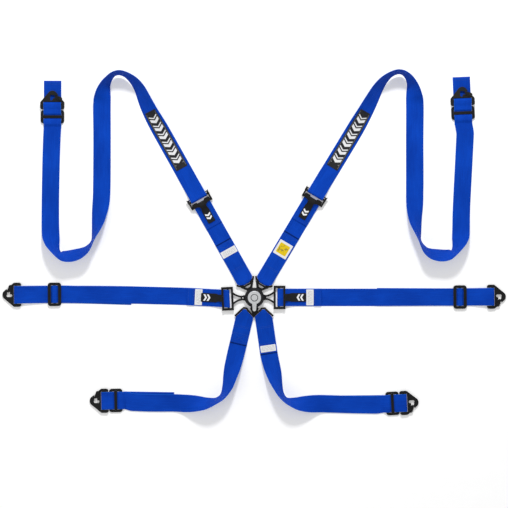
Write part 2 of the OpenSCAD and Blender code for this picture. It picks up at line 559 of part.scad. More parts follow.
route_lap_right = [[122, 0, up, 0], [200, 0, up, 0], [300, 0, up, 0], [340, 0, up, 0],
  [362, 0, upper_z, 0], [440, 0.5, upper_z, 0], [530, 0.9, upper_z, 0]];
route_crotch_left = [[-62, -197, up, 20], [-69, -225, up, 38], [-76, -253, 1.5, 54], [-89, -279, 3, 72],
  [-110, -294, 4, 74], [-138, -302, 2.5, 54], [-167, -303, 1.5, 32], [-200, -303, 1.6, 9],
  [-232, -302, upper_z, 0], [-300, -302, upper_z, 0], [-350, -300, upper_z, 0]];
route_crotch_right = [[46, -182, up, -10], [54, -212, up, -26], [63, -244, 1.5, -50], [75, -274, 3, -70],
  [92, -293, 4, -75], [119, -302, 2.5, -54], [148, -304, 1.5, -30], [185, -304, 1.6, -6],
  [220, -305, upper_z, 0], [290, -307, upper_z, 0], [350, -308, upper_z, 0]];

// The same stations, moved off the face of the webbing.
function off_face(st, d) = [for (i = [0 : len(st) - 1])
  let (dir = unit(st[min(i + 1, len(st) - 1)][0] - st[max(i - 1, 0)][0]))
  [st[i][0] + d * unit(cross(dir, st[i][1])), st[i][1]]];

// Black patch sewn on the upper shoulder strap; it follows the strap into its turn.
module shoulder_patch(route) {
  st = rolled(smooth(route, 5));
  color(black) band(off_face([for (i = [0 : 11]) st[i]], web_t / 2 + 0.46), 36, 0.8);
}

// Pull tab that hangs on the outer wall of a lap frame and lies on the tail of its strap.
module lap_pull_tab(bar) color(black) translate([bar[0], bar[1], 0]) band(upright([[17, 13.9], [19.6, 13.6],
  [22.4, 11.6], [26, 8.4], [31, 6.6], [40, 4.9], [52, 4.4], [78, 4.4]], 0, 0, bar[2]), 25, 2);

// ---- assembly ----

translate([0, -buckle_drop, 0]) {
  buckle_base();
  buckle_housing();
  housing_screws();
  latch_guide();
  center_stud();
  lift_cam();
  release_lever();
  lever_cap();
  lever_spring();
  latch_springs();
  latch_pin(shoulder_left_yaw);  // latch_pin_shoulder_left
  latch_pin(shoulder_right_yaw);  // latch_pin_shoulder_right
  latch_pin(0);  // latch_pin_lap
  latch_pin(270);  // latch_pin_crotch
  shoulder_tongue(shoulder_left_yaw);  // shoulder_tongue_left
  shoulder_tongue(shoulder_right_yaw);  // shoulder_tongue_right
  lap_lug_left();
  lap_tongue_right();
  crotch_plate();
  lug_pin();
  lap_lock_bar(lap_left_yaw, lap_bar_left);  // lap_lock_bar_left
  lap_lock_bar(0, lap_bar_right);  // lap_lock_bar_right
  lap_pull_tab(lap_left_bar);  // lap_pull_tab_left
  lap_pull_tab(lap_right_bar);  // lap_pull_tab_right
  lap_strap(lap_left_bar, 118, route_lap_left, end_lap_left, [-352, 3.2]);  // lap_strap_left
  lap_strap(lap_right_bar, 122, route_lap_right, end_lap_right, [351, 1.9]);  // lap_strap_right
  crotch_strap(crotch_left, 96, route_crotch_left, end_crotch_left, [-230, -296.5], end_crotch_l);  // crotch_strap_left
  crotch_strap(crotch_right, 122, route_crotch_right, end_crotch_right, [246, -306], end_crotch_r);  // crotch_strap_right
  shoulder_lower(shoulder_left_yaw, adjuster_left_at, seam_left);  // shoulder_lower_left
  shoulder_lower(shoulder_right_yaw, adjuster_right_at, seam_right);  // shoulder_lower_right
  shoulder_strap(shoulder_left_yaw, adjuster_left_at, route_shoulder_left, end_shoulder_left);  // shoulder_strap_left
  shoulder_strap(shoulder_right_yaw, adjuster_right_at, route_shoulder_right, end_shoulder_right);  // shoulder_strap_right
  adjuster(shoulder_left_yaw, adjuster_left_at);  // adjuster_left
  adjuster(shoulder_right_yaw, adjuster_right_at);  // adjuster_right
  adjuster_bar(shoulder_left_yaw, adjuster_left_at);  // adjuster_bar_left
  adjuster_bar(shoulder_right_yaw, adjuster_right_at);  // adjuster_bar_right
  adjuster_lever(shoulder_left_yaw, adjuster_left_at);  // adjuster_lever_left
  adjuster_lever(shoulder_right_yaw, adjuster_right_at);  // adjuster_lever_right
  adjuster_tab(shoulder_left_yaw, adjuster_left_at);  // adjuster_tab_left
  adjuster_tab(shoulder_right_yaw, adjuster_right_at);  // adjuster_tab_right
  shoulder_patch(route_shoulder_left);  // shoulder_patch_left
  shoulder_patch(route_shoulder_right);  // shoulder_patch_right
  placed(end_lap_left) hook();  // hook_lap_left
  placed(end_lap_right) hook();  // hook_lap_right
  placed(end_crotch_left) hook();  // hook_crotch_left
  placed(end_crotch_right) hook();  // hook_crotch_right
  placed(end_shoulder_left) hook();  // hook_shoulder_left
  placed(end_shoulder_right) hook();  // hook_shoulder_right
  placed(end_lap_left) gate();  // gate_lap_left
  placed(end_lap_right) gate();  // gate_lap_right
  placed(end_crotch_left) gate();  // gate_crotch_left
  placed(end_crotch_right) gate();  // gate_crotch_right
  placed(end_shoulder_left) gate();  // gate_shoulder_left
  placed(end_shoulder_right) gate();  // gate_shoulder_right
  placed(end_lap_left) slide(lap_left_gap, 1);  // slide_lap_left
  placed(end_lap_right) slide(lap_right_gap, 1);  // slide_lap_right
  placed(end_crotch_left) slide(near, -1);  // slide_crotch_left
  placed(end_crotch_right) slide(near, -1);  // slide_crotch_right
  placed(end_shoulder_left) slide(near, -1);  // slide_shoulder_left
  placed(end_shoulder_right) slide(near, -1);  // slide_shoulder_right
}
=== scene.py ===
import bpy
import math
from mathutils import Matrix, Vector


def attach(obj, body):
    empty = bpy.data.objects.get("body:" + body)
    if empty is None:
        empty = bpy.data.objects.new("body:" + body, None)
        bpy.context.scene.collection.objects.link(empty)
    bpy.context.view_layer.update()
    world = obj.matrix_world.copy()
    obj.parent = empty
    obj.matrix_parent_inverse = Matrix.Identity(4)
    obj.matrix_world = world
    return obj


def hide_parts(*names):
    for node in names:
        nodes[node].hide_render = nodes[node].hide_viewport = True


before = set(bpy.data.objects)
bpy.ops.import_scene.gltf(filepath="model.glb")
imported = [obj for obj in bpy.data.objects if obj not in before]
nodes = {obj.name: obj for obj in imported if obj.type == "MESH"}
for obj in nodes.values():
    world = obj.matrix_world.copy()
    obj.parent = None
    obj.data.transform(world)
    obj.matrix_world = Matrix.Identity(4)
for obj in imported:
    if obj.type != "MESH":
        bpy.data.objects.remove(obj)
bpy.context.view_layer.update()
scene = bpy.context.scene
scene.view_settings.view_transform = "Standard"

# ---- camera: straight above the layout ----

CAMERA_AT = (-0.0011, -0.0314, 4.04)

cam = bpy.data.cameras.new("camera")
cam.lens, cam.sensor_width = 100, 36
cam.clip_end = 50
cam_obj = bpy.data.objects.new("camera", cam)
cam_obj.location = CAMERA_AT
scene.collection.objects.link(cam_obj)
scene.camera = cam_obj

# Sizes of the part, in mm from the buckle's centre.
MM = 0.001
DROP = 155.5                    # how far the whole layout is shifted down from that centre
HALF = 25                       # half the width of the webbing
UP = 0.7                        # half its thickness
FLAT, LAYER = 0.75, 1.6         # height of the first layer on the floor, and from one layer to the next
UPPER = FLAT + LAYER
BAR_Z, LOOP = 6.5, 4.1          # the short bars and the webbing's turn round them
ADJ_Z = BAR_Z
HOOK_LOOP = 4.6
HOOK_Z = HOOK_LOOP + 0.9
STEP = 4.25                     # how far the webbing climbs over the middle bar of a slide
EDGES = (-HALF, HALF)


def sind(a):
    return math.sin(math.radians(a))


def cosd(a):
    return math.cos(math.radians(a))


# ---- the routes of the straps, as in the part ----

# A station is its middle, the direction across, the two edges along that direction, and 1 where the
# direction is kept skewed. A profile is a list of (distance along, height).

def upright(profile, x, y, yaw):
    c, s = cosd(yaw), sind(yaw)
    return [((x + p[0] * c, y + p[0] * s, p[1]), (-s, c, 0), EDGES, 0) for p in profile]


def arc(cx, cz, r, start, end, n):
    return [(cx + r * cosd(start + (end - start) * i / n), cz + r * sind(start + (end - start) * i / n))
            for i in range(n + 1)]


def spline(a, b, c, d, t):
    return [0.5 * (2 * q + (r - p) * t + (2 * p - 5 * q + 4 * r - s) * t * t + (3 * q - p - 3 * r + s) * t ** 3)
            for p, q, r, s in zip(a, b, c, d)]


def smooth(p, n):
    out = []
    for i in range(len(p) - 1):
        for k in range(n):
            out.append(spline(p[max(i - 1, 0)], p[i], p[i + 1], p[min(i + 2, len(p) - 1)], k / n))
    return out + [p[-1]]


def rolled(route):
    out = []
    for i, p in enumerate(route):
        a, b = route[max(i - 1, 0)], route[min(i + 1, len(route) - 1)]
        h = Vector((b[0] - a[0], b[1] - a[1])).normalized()
        s, c = sind(p[3]), cosd(p[3])
        out.append(((p[0], p[1], p[2] + HALF * abs(s)), (-h.y * c, h.x * c, s), EDGES, 0))
    return out


def slide_pass(at, side, z, low):
    """Over the middle bar of a slide and down again."""
    za, zb = (FLAT, FLAT + STEP) if side > 0 else (FLAT + STEP, FLAT)
    e = 0 if (low and side > 0) or (not low and side < 0) else 0.48
    base = z + (0 if low else LAYER)
    return [(at - 9.02 - e, base + za), (at - 4.55 - e, base + zb), (at + 4.55 + e, base + zb),
            (at + 9.02 + e, base + za)]


def hook_end(gap, side, below):
    """Through the slide, round the hook's bar and back through the slide."""
    z = below * LAYER
    hz = HOOK_Z + z
    there, back = slide_pass(-gap, side, z, False), slide_pass(-gap, side, z, True)[::-1]
    turn = arc(0, hz, HOOK_LOOP, 90, -90, 10)
    if side < 0:
        return ([(-gap - 28, z + UPPER), (-gap - 20.7, z + UPPER + STEP)] + there
                + [(-gap + 20, z + UPPER + STEP), (-8, hz + 3.9)] + turn
                + [(-7, z + 1.2), (-gap + 20, z + FLAT + STEP)] + back
                + [(-gap - 20.2, z + FLAT + STEP), (-gap - 27.5, z + FLAT)])
    return (there + [(-gap + 21, z + UPPER), (-gap + 34, z + UPPER + 0.8), (-24, hz + 1.6), (-9, hz + 4)] + turn
            + [(-9, z + 0.8), (-gap + 30, z + FLAT)] + back)


def lookup(x, table):
    if x <= table[0][0]:
        return table[0][1]
    for (a, va), (b, vb) in zip(table, table[1:]):
        if x <= b:
            return va + (vb - va) * (x - a) / (b - a)
    return table[-1][1]


def folded(profile, x, y, yaw, at, ends):
    return [((x + p[0] * cosd(yaw), y + p[0] * sind(yaw), p[1]), (-sind(yaw), cosd(yaw), 0),
             (-lookup(p[0] - at, ends[0]), lookup(p[0] - at, ends[1])), 0) for p in profile]


END_SHOULDER = [[(-4.8, 9.5), (-1.9, 10.5), (0, 16.5), (1.6, 19.3), (4.2, 22.3), (8, 25)]] * 2
END_CROTCH_L = [[(-4.8, 8), (-1.9, 8.6), (0, 10.5), (5, 13.6), (10, 16.8), (19, 22.7), (22.5, 25)],
                [(-4.8, 0.5), (-1.9, 1.4), (0, 4.5), (5, 12), (10.5, 20.6), (13.5, 25)]]
END_CROTCH_R = [[(-4.8, 2), (-1.9, 3), (0, 6.5), (5, 13.9), (9.8, 21.2), (12.5, 25)],
                [(-4.8, 6.5), (-1.9, 7), (0, 8.8), (5, 12.4), (10, 16.5), (16, 21.6), (20, 25)]]

# Where each strap ends in its hook: x, y, direction, distance back to the slide, layers below it.
ENDS = {"lap_left": (-682.5, 7.6, 180.6, 111, 0), "lap_right": (681, 2, 0.6, 93, 0),
        "crotch_left": (-433, -295.5, 181, 36.5, 0), "crotch_right": (431.5, -301.5, 3, 36.5, 0),
        "shoulder_left": (-577.5, 553, 90, 36.5, 1), "shoulder_right": (595, 564, 92.5, 36.5, 1)}
TAILS = {"lap_left": (-352, 3.2), "lap_right": (351, 1.9),
         "crotch_left": (-230, -296.5), "crotch_right": (246, -306)}
YAW = {"left": 119.3, "right": 59.2}
ADJUSTER = {"left": 321, "right": 337}
TONGUE_BAR = 48.8
SEAM = {"left": 181, "right": 207}
LAP_BAR = {"left": (75 * cosd(182.8), 75 * sind(182.8), 177, 5.8), "right": (70, 0, 0, 0)}
CROTCH = {"left": (-24, -39.3, 256.8), "right": (24, -39.3, 278.2)}

# x, y, lift of the lower edge, roll. A positive roll lifts the left edge.
ROUTE = {
    "shoulder_left": [(-207, 369, UP, 0), (-262, 467, UP, -6), (-294, 524, UP, -26), (-311, 559, UP, -37),
                      (-326, 593, 1, -50), (-342, 616, 3, -62), (-362, 632, 6, -74), (-382, 639, 8, -80),
                      (-401, 635, 7, -82), (-415, 622, 4, -74), (-427, 602, 2, -58), (-433, 579, 1, -34),
                      (-436, 545, UP, -8), (-436, 450, UP, 0), (-437, 300, UP, 0), (-443, 233, UP, 30),
                      (-449, 197, 2, 54), (-459, 164, 6, 76), (-474, 140, 10, 66), (-492, 127, 12, 54),
                      (-510, 121, 12, 47), (-528, 118, 12, 48), (-545, 119, 10, 56), (-560, 126, 7, 72),
                      (-571, 140, 4, 62), (-578, 158, 2, 40), (-583, 190, UP, 8), (-584, 260, UP, 0),
                      (-582, 380, 1.2, 0), (-579, 460, 3.95, 0)],
    "shoulder_right": [(222, 371, UP, 0), (280, 467, UP, 6), (313, 524, UP, 26), (332, 559, UP, 37),
                       (350, 593, 1, 50), (366, 616, 3, 62), (384, 632, 6, 74), (405, 641, 8, 80),
                       (424, 639, 7, 82), (440, 626, 4, 74), (451, 604, 2, 58), (456, 579, 1, 34),
                       (459, 545, UP, 8), (459, 450, UP, 0), (459, 300, UP, 0), (458, 233, UP, -30),
                       (462, 197, 2, -54), (470, 164, 6, -76), (485, 137, 10, -66), (502, 125, 12, -54),
                       (520, 121, 12, -47), (538, 120, 12, -48), (555, 123, 10, -56), (570, 131, 7, -72),
                       (580, 144, 4, -62), (587, 162, 2, -40), (591, 190, UP, -8), (593, 260, UP, 0),
                       (600, 400, 1.2, 0), (603, 470, 3.95, 0)],
    "lap_left": [(-135, -0.6, UP, 0), (-200, 2.8, UP, 0), (-300, 5.5, UP, 0), (-340, 6.5, UP, 0),
                 (-362, 7, UPPER, 0), (-440, 8, UPPER, 0), (-520, 8.2, UPPER, 0)],
    "lap_right": [(122, 0, UP, 0), (200, 0, UP, 0), (300, 0, UP, 0), (340, 0, UP, 0), (362, 0, UPPER, 0),
                  (440, 0.5, UPPER, 0), (530, 0.9, UPPER, 0)],
    "crotch_left": [(-62, -197, UP, 20), (-69, -225, UP, 38), (-76, -253, 1.5, 54), (-89, -279, 3, 72),
                    (-110, -294, 4, 74), (-138, -302, 2.5, 54), (-167, -303, 1.5, 32), (-200, -303, 1.6, 9),
                    (-232, -302, UPPER, 0), (-300, -302, UPPER, 0), (-350, -300, UPPER, 0)],
    "crotch_right": [(46, -182, UP, -10), (54, -212, UP, -26), (63, -244, 1.5, -50), (75, -274, 3, -70),
                     (92, -293, 4, -75), (119, -302, 2.5, -54), (148, -304, 1.5, -30), (185, -304, 1.6, -6),
                     (220, -305, UPPER, 0), (290, -307, UPPER, 0), (350, -308, UPPER, 0)]}


def tail_end(name):
    (x, y), yaw = TAILS[name], ENDS[name][2]
    return (x, y, FLAT), (-sind(yaw), cosd(yaw), 0), EDGES, 0


def lower_strap(side):
    yaw, far, b, seam = YAW[side], ADJUSTER[side] - 13, TONGUE_BAR, SEAM[side]
    near = [(seam, FLAT), (b + 30, FLAT), (b + 22.5, 0.8), (b + 13, 1.1), (b + 8, 1.4), (b + 4.2, 1.9)]
    near += [(p[0] + b, p[1]) for p in arc(0, BAR_Z, LOOP, 270, 90, 12)]
    near += [(b + 4.2, 10.1), (b + 8, 9.1), (b + 13, 7.6), (b + 22.5, 5.1), (b + 30, 3.4), (b + 40, UPPER),
             (seam + 2, UPPER), (seam + 12, FLAT + 0.1)]
    out = [(far - 38, FLAT), (far - 26, FLAT + 0.1), (far - 9, 1.7)]
    out += [(p[0] + far, p[1]) for p in arc(0, ADJ_Z, LOOP, -90, 90, 12)]
    out += [(far - 5, 9.9), (far - 10, 7.4), (far - 17, 4.4), (far - 26, UPPER + 0.1), (far - 34, UPPER),
            (far - 74, UPPER)]
    return folded(near, 0, 0, yaw, b, END_SHOULDER) + upright(out, 0, 0, yaw)


def shoulder_strap(side):
    yaw, at = YAW[side], ADJUSTER[side]
    x, y, turn, gap, below = ENDS["shoulder_" + side]
    p = [(at + 66, FLAT), (at + 34, FLAT), (at + 20, 1.8), (at + 8, ADJ_Z - LOOP)]
    p += [(q[0] + at + 4, q[1]) for q in arc(0, ADJ_Z, LOOP, 270, 90, 12)]
    p += [(at + 7.5, 10), (at + 10.5, 8.7), (at + 15, 7.5), (at + 24, 6), (at + 38, 3.6), (at + 52, UPPER),
          (at + 68, UPPER)]
    q = hook_end(gap, -1, below) + [(-gap - 30, FLAT + LAYER)]
    q += arc(-gap - 32, FLAT + LAYER / 2, LAYER / 2, 90, 270, 6) + [(67, FLAT)]
    return upright(p, 0, 0, yaw) + rolled(smooth(ROUTE["shoulder_" + side], 5)) + upright(q, x, y, turn)


def lap_strap(side, tail):
    bx, by, yaw, skew = LAP_BAR[side]
    x, y, turn, gap, below = ENDS["lap_" + side]
    p = [(tail, UPPER), (48, UPPER), (38, 3.1), (27, 4.9), (18, 6.7), (12.5, 8.2), (8, 9.6), (4, 10.4)]
    p += arc(0, BAR_Z, LOOP, 90, 270, 12) + [(8, 2.4), (20, 2), (36, FLAT)]
    out = []
    for a, z in p:
        k = math.tan(math.radians(skew)) * (0 if a > 24 else (24 - a) / 12 if a > 12 else 1)
        c, s = cosd(yaw), sind(yaw)
        out.append(((bx + a * c, by + a * s, z), (-s - k * c, c - k * s, 0), EDGES, 1))
    return (out + rolled(smooth(ROUTE["lap_" + side], 3))
            + upright(hook_end(gap, 1, below) + [(-gap - 30, FLAT)], x, y, turn) + [tail_end("lap_" + side)])


def crotch_strap(side, seam, ends):
    cx, cy, yaw = CROTCH[side]
    x, y, turn, gap, below = ENDS["crotch_" + side]
    p = [(seam, FLAT), (30, FLAT), (22.5, 0.8), (13, 1.1), (8, 1.4), (4.2, 1.9)]
    p += arc(0, BAR_Z, LOOP, 270, 90, 12)
    p += [(4.2, 10.1), (8, 9.1), (13, 7.6), (22.5, 5.1), (30, 3.4), (40, UPPER), (seam + 2, UPPER)]
    return (folded(p, cx, cy, yaw, 0, ends) + rolled(smooth(ROUTE["crotch_" + side], 5))
            + upright(hook_end(gap, -1, below), x, y, turn) + [tail_end("crotch_" + side)])


# ---- strap meshes ----

class Path:
    """A strap's middle line with its frames, sampled finely, in mm."""

    def __init__(self, stations, step=1.5, passes=2):
        mids = [Vector(s[0]) for s in stations]
        rows = []
        for i in range(len(stations) - 1):
            a, b = stations[i], stations[i + 1]
            n = max(1, math.ceil((mids[i + 1] - mids[i]).length / step))
            for k in range(n):
                t = k / n
                rows.append([mids[i].lerp(mids[i + 1], t), Vector(a[1]).lerp(Vector(b[1]), t),
                             a[2][0] + (b[2][0] - a[2][0]) * t, a[2][1] + (b[2][1] - a[2][1]) * t,
                             a[3] * (1 - t) + b[3] * t])
        s = stations[-1]
        rows.append([mids[-1], Vector(s[1]), s[2][0], s[2][1], s[3]])
        for _ in range(passes):
            new = [r[0] for r in rows]
            for i in range(1, len(rows) - 1):
                new[i] = (rows[i - 1][0] + 2 * rows[i][0] + rows[i + 1][0]) / 4
            for r, m in zip(rows, new):
                r[0] = m
        self.mid = [r[0] for r in rows]
        self.lo = [r[2] for r in rows]
        self.hi = [r[3] for r in rows]
        n = len(rows)
        self.dir = [(self.mid[min(i + 1, n - 1)] - self.mid[max(i - 1, 0)]).normalized() for i in range(n)]
        self.across = []
        for r, d in zip(rows, self.dir):
            flat = (r[1] - d * r[1].dot(d)).normalized()
            self.across.append(flat.lerp(r[1], r[4]))
        self.up = [d.cross(a).normalized() for d, a in zip(self.dir, self.across)]
        self.len = [0.0]
        for i in range(1, n):
            self.len.append(self.len[-1] + (self.mid[i] - self.mid[i - 1]).length)

    def at(self, length):
        """The frame at a length along the strap."""
        lo, hi = 0, len(self.len) - 1
        while hi - lo > 1:
            m = (lo + hi) // 2
            lo, hi = (m, hi) if self.len[m] <= length else (lo, m)
        t = (length - self.len[lo]) / max(self.len[hi] - self.len[lo], 1e-9)
        t = min(max(t, 0), 1)
        mix = lambda a: a[lo].lerp(a[hi], t)
        return mix(self.mid), mix(self.across), mix(self.up)

    def point(self, length, across, up):
        m, a, u = self.at(length)
        return m + a * across + u * up

    def nearest(self, x, y):
        """Length along the strap nearest to a place on the floor, on the topmost layer there."""
        best = None
        for i, m in enumerate(self.mid):
            d = math.hypot(m.x - x, m.y - y)
            score = d - 0.6 * m.z
            if best is None or score < best[0]:
                best = (score, self.len[i])
        return best[1]


def to_world(p):
    return (p.x * MM, (p.y - DROP) * MM, p.z * MM)


def new_mesh(name, verts, faces, uvs=None, smooth_shade=True):
    me = bpy.data.meshes.new(name)
    me.from_pydata(verts, [], faces)
    if uvs:
        layer = me.uv_layers.new(name="weave")
        for loop in me.loops:
            layer.data[loop.index].uv = uvs[loop.vertex_index]
    if smooth_shade:
        me.polygons.foreach_set("use_smooth", [True] * len(me.polygons))
    ob = bpy.data.objects.new(name, me)
    scene.collection.objects.link(ob)
    return ob


# Places across a webbing section, and its thickness there.
SECTION = [-1, -0.985, -0.955, -0.9, -0.7, -0.35, 0, 0.35, 0.7, 0.9, 0.955, 0.985, 1]
THICK = [0.25, 0.75, 1.0, 0.94, 0.94, 0.94, 0.94, 0.94, 0.94, 0.94, 1.0, 0.75, 0.25]


def strap_mesh(name, path, thick=1.3):
    """Closed band along a path. It thins at its edges, and rows are dropped where it is straight."""
    n = len(path.mid)
    keep = [0]
    for i in range(1, n - 1):
        turn = path.dir[i].angle(path.dir[keep[-1]], 0) + path.across[i].angle(path.across[keep[-1]], 0)
        shape = abs(path.hi[i] - path.hi[keep[-1]]) + abs(path.lo[i] - path.lo[keep[-1]])
        if turn > 0.05 or shape > 0.8 or path.len[i] - path.len[keep[-1]] > 7:
            keep.append(i)
    keep.append(n - 1)
    m = len(SECTION)
    verts, uvs, faces = [], [], []
    for i in keep:
        lo, hi = path.lo[i], path.hi[i]
        c, h = (lo + hi) / 2, (hi - lo) / 2
        for side in (-1, 1):
            for f, t in (list(zip(SECTION, THICK)) if side < 0 else list(zip(SECTION, THICK))[::-1]):
                v = c + h * f
                p = path.mid[i] + path.across[i] * v + path.up[i] * (side * t * thick / 2)
                verts.append(to_world(p))
                uvs.append((v * MM, path.len[i] * MM))
    r = 2 * m
    for k in range(len(keep) - 1):
        for j in range(r):
            a, b = k * r + j, k * r + (j + 1) % r
            faces.append((a, a + r, b + r, b))
    faces.append(tuple(range(r)))
    faces.append(tuple(range((len(keep) - 1) * r + r - 1, (len(keep) - 1) * r - 1, -1)))
    return new_mesh(name, verts, faces, uvs)


# ---- materials ----

class Shader:
    """A small helper round one node-based material."""

    def __init__(self, name, **values):
        self.mat = bpy.data.materials.new(name)
        self.mat.use_nodes = True
        self.tree = self.mat.node_tree
        self.bsdf = self.tree.nodes["Principled BSDF"]
        for k, v in values.items():
            self.bsdf.inputs[k.replace("_", " ")].default_value = v

    def node(self, kind, **settings):
        n = self.tree.nodes.new("ShaderNode" + kind)
        for k, v in settings.items():
            setattr(n, k, v)
        return n

    def link(self, a, b):
        self.tree.links.new(a, b)

    def math(self, op, a, b=None, clamp=False):
        n = self.node("Math", operation=op, use_clamp=clamp)
        for i, v in enumerate((a, b)):
            if v is None:
                continue
            if isinstance(v, (int, float)):
                n.inputs[i].default_value = v
            else:
                self.link(v, n.inputs[i])
        return n.outputs[0]

    def uv(self):
        """Across and along, in metres."""
        n = self.node("UVMap", uv_map="weave")
        s = self.node("SeparateXYZ")
        self.link(n.outputs[0], s.inputs[0])
        return n.outputs[0], s.outputs[0], s.outputs[1]

    def place(self):
        return self.node("TexCoord").outputs["Object"]

    def noise(self, vector, scale, stretch=(1, 1, 1), detail=3, rough=0.5):
        m = self.node("Mapping")
        m.inputs["Scale"].default_value = stretch
        self.link(vector, m.inputs["Vector"])
        n = self.node("TexNoise")
        n.inputs["Scale"].default_value = scale
        n.inputs["Detail"].default_value = detail
        n.inputs["Roughness"].default_value = rough
        self.link(m.outputs[0], n.inputs["Vector"])
        return n.outputs["Fac"]

    def ramp(self, fac, stops):
        n = self.node("ValToRGB")
        while len(n.color_ramp.elements) < len(stops):
            n.color_ramp.elements.new(0.5)
        for e, (p, c) in zip(n.color_ramp.elements, stops):
            e.position = p
            e.color = (c, c, c, 1) if isinstance(c, (int, float)) else tuple(c) + (1,)
        self.link(fac, n.inputs[0])
        return n.outputs[0]

    def mix(self, fac, a, b):
        n = self.node("Mix", data_type="RGBA")
        for i, v in ((6, a), (7, b)):
            if isinstance(v, tuple):
                n.inputs[i].default_value = v + (1,)
            else:
                self.link(v, n.inputs[i])
        self.link(fac, n.inputs[0])
        return n.outputs[2]

    def bump(self, height, distance, strength=1.0):
        n = self.node("Bump")
        n.inputs["Distance"].default_value = distance
        n.inputs["Strength"].default_value = strength
        self.link(height, n.inputs["Height"])
        if self.bsdf.inputs["Normal"].links:
            self.link(self.bsdf.inputs["Normal"].links[0].from_socket, n.inputs["Normal"])
        self.link(n.outputs[0], self.bsdf.inputs["Normal"])

    def color(self, socket):
        self.link(socket, self.bsdf.inputs["Base Color"])

    def rough(self, socket):
        self.link(socket, self.bsdf.inputs["Roughness"])

    def band(self, x, lo, hi, soft):
        """1 where x lies between lo and hi, with soft edges."""
        a = self.math("DIVIDE", self.math("SUBTRACT", x, lo - soft), 2 * soft, clamp=True)
        b = self.math("DIVIDE", self.math("SUBTRACT", hi + soft, x), 2 * soft, clamp=True)
        return self.math("MULTIPLY", a, b)


def webbing(name, light, dark, edge):
    """Woven webbing: herringbone ribs, fine warp lines, a dark line beside each paler selvedge."""
    s = Shader(name, Roughness=0.62, Specular_IOR_Level=0.06)
    vec, u, v = s.uv()
    zig = s.math("PINGPONG", u, 0.0042)
    rib = s.math("SINE", s.math("MULTIPLY", s.math("ADD", v, zig), 2 * math.pi / 0.0017))
    warp = s.math("SINE", s.math("MULTIPLY", u, 2 * math.pi / 0.0009))
    height = s.math("ADD", s.math("MULTIPLY", rib, 0.6), s.math("MULTIPLY", warp, 0.4))
    au = s.math("ABSOLUTE", u)
    seam = s.band(au, 0.0215, 0.0228, 0.0006)
    selvedge = s.band(au, 0.0238, 0.03, 0.0005)
    s.bump(s.math("ADD", height, s.math("MULTIPLY", seam, -1.6)), 0.00022, 0.9)
    s.bump(s.noise(vec, 60, (1, 0.4, 1), 2), 0.0006, 0.35)
    streak = s.noise(vec, 900, (1, 0.02, 1), 2)
    cloud = s.noise(vec, 22, (1, 0.5, 1), 3)
    tone = s.math("ADD", s.math("MULTIPLY", streak, 0.45), s.math("MULTIPLY", cloud, 0.55))
    # painted shade: the rib pattern also colours the weave's valleys darker and its crests lighter
    tone = s.math("ADD", tone, s.math("MULTIPLY", rib, 0.1))
    base = s.mix(s.ramp(tone, [(0.32, 0), (0.68, 1)]), dark, light)
    base = s.mix(s.math("MULTIPLY", seam, 0.35), base, dark)
    base = s.mix(s.math("MULTIPLY", selvedge, 0.45), base, edge)
    s.color(base)
    s.rough(s.ramp(tone, [(0.3, 0.7), (0.7, 0.55)]))
    return s.mat


def thread(name, tint):
    s = Shader(name, Roughness=0.5, Specular_IOR_Level=0.4)
    n = s.noise(s.place(), 2500, detail=2)
    s.color(s.mix(n, tuple(c * 0.7 for c in tint), tint))
    s.bump(n, 0.0001, 0.8)
    return s.mat


def steel(name, base, edge_wear_and_highlight, rough, metallic, wear_and_highlight_amount=1.0, bevel=0.0009, specular=0.5):
    """Blackened or plated steel, its edges coloured lighter for rubbed wear and as a painted highlight, with
    faint grain and smudges.
    """
    s = Shader(name, Metallic=metallic, Specular_IOR_Level=specular)
    pos = s.place()
    bev = s.node("Bevel", samples=6)
    bev.inputs["Radius"].default_value = bevel
    geo = s.node("NewGeometry")
    dot = s.node("VectorMath", operation="DOT_PRODUCT")
    s.link(bev.outputs[0], dot.inputs[0])
    s.link(geo.outputs["Normal"], dot.inputs[1])
    # edge mask from the bevel normal: the lighter edge colour is rubbed wear and a painted highlight on the
    # rounded edges
    edge = s.math("MULTIPLY", s.math("SUBTRACT", 1.0, dot.outputs["Value"]), 7.0, clamp=True)
    patchy = s.ramp(s.noise(pos, 240, detail=4, rough=0.65), [(0.38, 0), (0.62, 1)])
    edge = s.math("MULTIPLY", s.math("MULTIPLY", edge, patchy), wear_and_highlight_amount, clamp=True)
    grain = s.noise(pos, 1400, (1, 1, 1), 2)
    smudge = s.noise(pos, 35, detail=4)
    tone = s.mix(smudge, tuple(c * 0.75 for c in base), tuple(min(1, c * 1.35) for c in base))
    s.color(s.mix(edge, tone, edge_wear_and_highlight))
    s.rough(s.ramp(s.math("ADD", s.math("MULTIPLY", smudge, 0.7), s.math("MULTIPLY", grain, 0.3)),
                   [(0.3, rough - 0.1), (0.7, rough + 0.12)]))
    s.link(bev.outputs[0], s.bsdf.inputs["Normal"])
    s.bump(grain, 0.00006, 0.5)
    return s.mat


